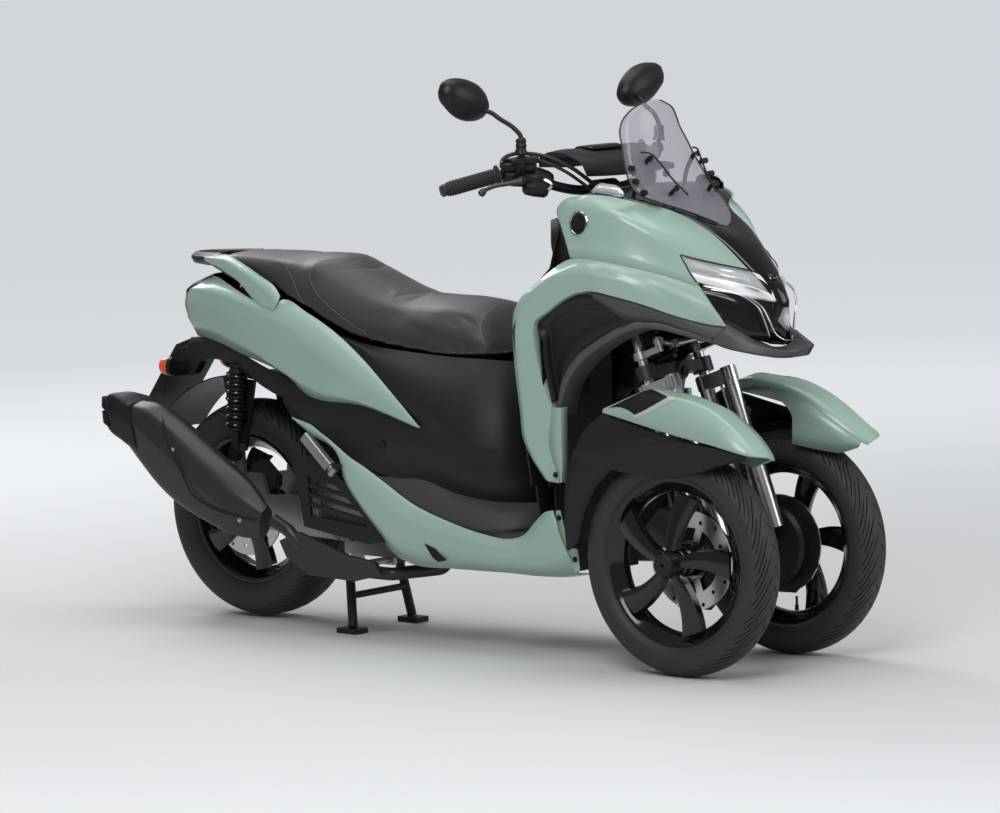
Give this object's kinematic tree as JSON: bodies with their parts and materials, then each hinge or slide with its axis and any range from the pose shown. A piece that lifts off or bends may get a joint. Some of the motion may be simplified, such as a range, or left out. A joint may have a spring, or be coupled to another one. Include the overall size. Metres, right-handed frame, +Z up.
{
  "type": "three-wheeled leaning scooter",
  "caption": "Leaning three-wheeled scooter with steered front wheels on inboard forks, step-through body, long saddle, belt drive rear wheel and centre stand.",
  "frame": {"origin": "on the ground under the middle of the machine's bounding box", "axes": "+X forward, +Y to the rider's left, +Z up"},
  "size_m": [1.9949, 0.75, 1.3],
  "materials": {
    "mint_paint": "gloss",
    "gloss_black": "gloss",
    "satin_black": "satin",
    "tyre_rubber": "matte",
    "grip_rubber": "matte",
    "bare_steel": "brushed",
    "cast_alloy": "cast",
    "dark_alloy": "satin",
    "smoked_screen": "smoked",
    "clear_lens": "clear",
    "amber_lens": "gloss",
    "saddle_cover": "grained"
  },
  "bodies": {
    "chassis": {"arch_panels": "satin_black", "centre_cowl": "gloss_black", "chin": "satin_black", "drive_case": "cast_alloy", "engine": "cast_alloy", "exhaust_pipe": "bare_steel", "floorboard": "satin_black", "frame": "satin_black", "front_wall": "satin_black", "grab_rail": "satin_black", "headlights": "clear_lens", "indicators": "amber_lens", "lean_arms": "dark_alloy", "leg_shield": "satin_black", "muffler": "satin_black", "radiator": "cast_alloy", "radiator_cover": "satin_black", "rear_caliper": "dark_alloy", "rear_inner_mudguard": "satin_black", "rear_mudguard": "satin_black", "rear_shocks": "satin_black", "side_covers": "satin_black", "side_cowls": "mint_paint", "sills": "mint_paint", "swing_arm": "cast_alloy", "tail_cowls": "mint_paint", "tail_lamp": "amber_lens", "underseat_box": "satin_black", "windscreen": "smoked_screen"},
    "steering": {"handlebar": "satin_black", "grips": "grip_rubber", "hand_controls": "satin_black", "handlebar_cover": "satin_black", "mirrors": "satin_black"},
    "wheel_fork_right": {"fork_right": "bare_steel", "hub_cover_right": "satin_black", "brake_caliper_right": "dark_alloy", "mudguard_right": "mint_paint"},
    "wheel_fork_left": {"fork_left": "bare_steel", "hub_cover_left": "satin_black", "brake_caliper_left": "dark_alloy", "mudguard_left": "mint_paint"},
    "front_wheel_right": {"front_tyre_right": "tyre_rubber", "front_rim_right": "gloss_black", "front_disc_right": "bare_steel"},
    "front_wheel_left": {"front_tyre_left": "tyre_rubber", "front_rim_left": "gloss_black", "front_disc_left": "bare_steel"},
    "rear_wheel": {"rear_tyre": "tyre_rubber", "rear_rim": "gloss_black", "rear_disc": "bare_steel"},
    "tie_rod": {"track_rod": "bare_steel"},
    "saddle_lid": {"saddle": "saddle_cover", "saddle_pan": "satin_black"},
    "centre_stand_leg": {"centre_stand": "satin_black"},
    "side_stand_leg": {"side_stand": "satin_black"},
    "peg_right": {"pillion_peg_right": "cast_alloy"},
    "peg_left": {"pillion_peg_left": "cast_alloy"}
  },
  "joints": [
    {"name": "steer", "type": "hinge", "parent": "chassis", "child": "steering", "pos_m": [0.39254, 0, 1.03813], "axis": [-0.342, 0, 0.9397], "range_deg": [-35, 35]},
    {"name": "fork_steer_right", "type": "hinge", "parent": "chassis", "child": "wheel_fork_right", "pos_m": [0.72683, -0.1, 0.24248], "axis": [-0.342, 0, 0.9397], "range_deg": [-35, 35]},
    {"name": "fork_steer_left", "type": "hinge", "parent": "chassis", "child": "wheel_fork_left", "pos_m": [0.72683, 0.1, 0.24248], "axis": [-0.342, 0, 0.9397], "range_deg": [-35, 35]},
    {"name": "tie_rod_swing", "type": "hinge", "parent": "steering", "child": "tie_rod", "pos_m": [0.57889, 0, 0.70156], "axis": [-0.342, 0, 0.9397], "range_deg": [-35, 35]},
    {"name": "front_wheel_spin_right", "type": "hinge", "parent": "wheel_fork_right", "child": "front_wheel_right", "pos_m": [0.7475, -0.1925, 0.25], "axis": [0, 1, 0], "continuous": true},
    {"name": "front_wheel_spin_left", "type": "hinge", "parent": "wheel_fork_left", "child": "front_wheel_left", "pos_m": [0.7475, 0.1925, 0.25], "axis": [0, 1, 0], "continuous": true},
    {"name": "rear_wheel_spin", "type": "hinge", "parent": "chassis", "child": "rear_wheel", "pos_m": [-0.6625, 0, 0.259], "axis": [0, 1, 0], "continuous": true},
    {"name": "saddle_hinge", "type": "hinge", "parent": "chassis", "child": "saddle_lid", "pos_m": [0.15, 0, 0.652], "axis": [0, 1, 0], "range_deg": [0, 50]},
    {"name": "centre_stand_hinge", "type": "hinge", "parent": "chassis", "child": "centre_stand_leg", "pos_m": [-0.318, 0, 0.15], "axis": [0, 1, 0], "range_deg": [0, 75]},
    {"name": "side_stand_hinge", "type": "hinge", "parent": "chassis", "child": "side_stand_leg", "pos_m": [-0.04, 0.15, 0.178], "axis": [0, 1, 0], "range_deg": [-100, 0]},
    {"name": "peg_hinge_right", "type": "hinge", "parent": "chassis", "child": "peg_right", "pos_m": [-0.24, -0.222, 0.392], "axis": [0.6691, 0, 0.7431], "range_deg": [0, 90]},
    {"name": "peg_hinge_left", "type": "hinge", "parent": "chassis", "child": "peg_left", "pos_m": [-0.24, 0.222, 0.392], "axis": [0.6691, 0, 0.7431], "range_deg": [-90, 0]}
  ],
  "couplings": [
    {"joint": "fork_steer_right", "follows": "steer", "ratio": 1},
    {"joint": "fork_steer_left", "follows": "steer", "ratio": 1},
    {"joint": "tie_rod_swing", "follows": "steer", "ratio": -1}
  ]
}
